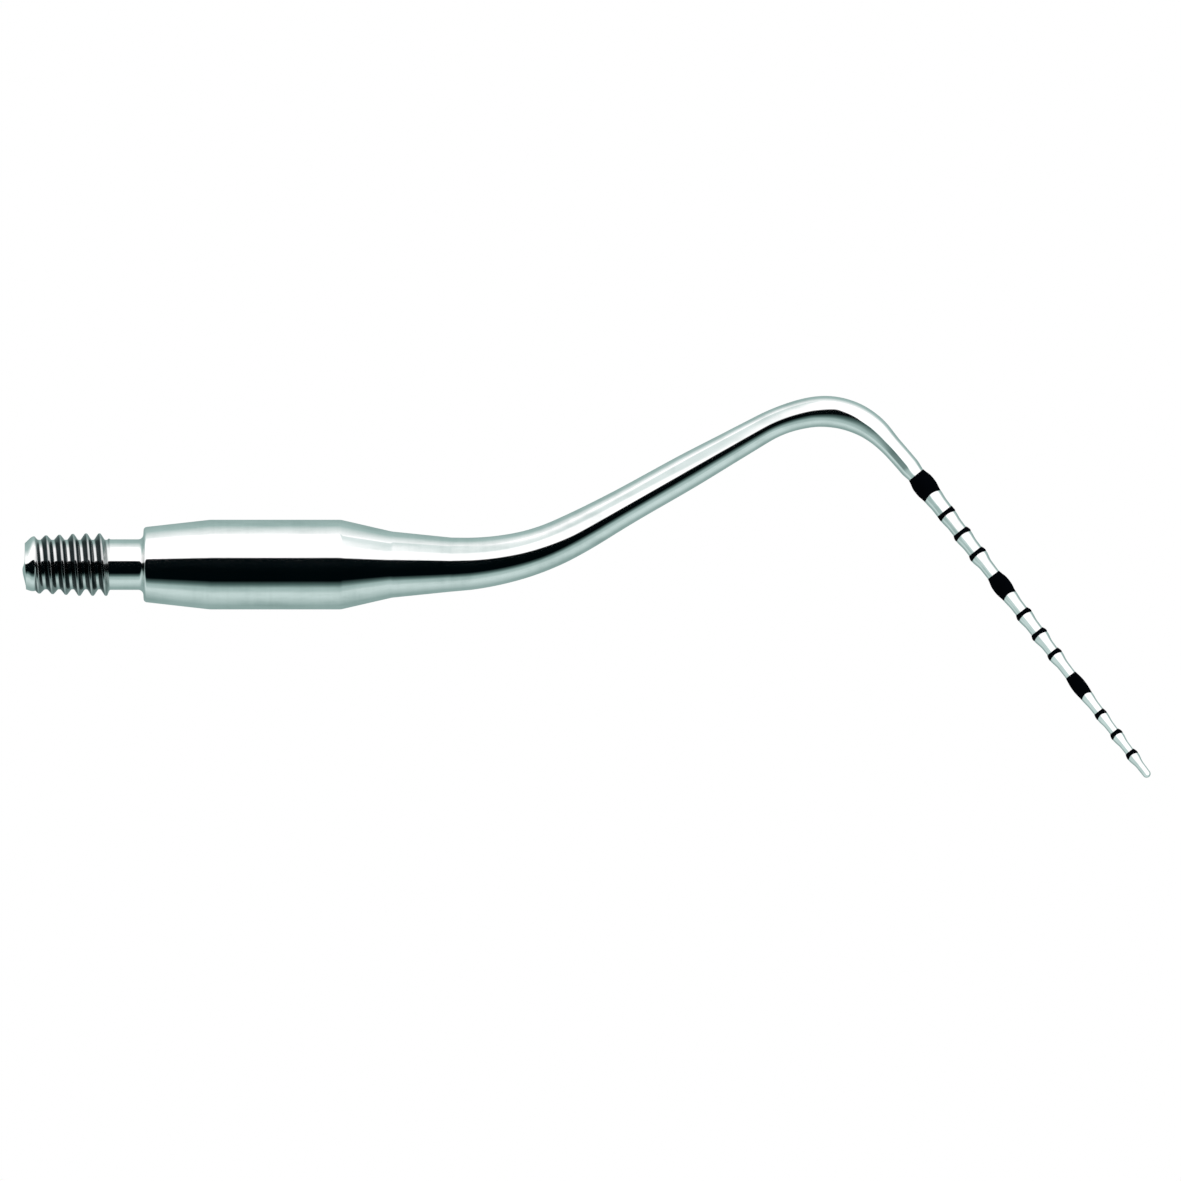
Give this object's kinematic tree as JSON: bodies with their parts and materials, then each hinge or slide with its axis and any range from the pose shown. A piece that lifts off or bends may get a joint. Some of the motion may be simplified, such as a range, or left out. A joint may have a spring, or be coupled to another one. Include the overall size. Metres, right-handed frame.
{
  "type": "screw-in periodontal probe tip",
  "caption": "Bent stainless steel periodontal probe tip with a threaded stud, a waisted gripping body and black millimetre bands.",
  "frame": {"origin": "centre of the annular shoulder face that seats on the handle, on the axis of the threaded stud", "axes": "+X along the stud's axis from the thread towards the probe, +Z towards the side to which the shank first bends, both bends in the XZ plane"},
  "size_m": [0.0447, 0.0036, 0.0151],
  "materials": {
    "steel": "polished, with fine turning and polishing marks",
    "band_black": "cured black epoxy enamel, satin"
  },
  "bodies": {
    "root": {"steel_probe": "steel", "band_01mm": "band_black", "band_02mm": "band_black", "band_03mm": "band_black", "band_04_05mm": "band_black", "band_06mm": "band_black", "band_07mm": "band_black", "band_08mm": "band_black", "band_09_10mm": "band_black", "band_11mm": "band_black", "band_12mm": "band_black", "band_13mm": "band_black", "band_14_15mm": "band_black"}
  },
  "joints": []
}
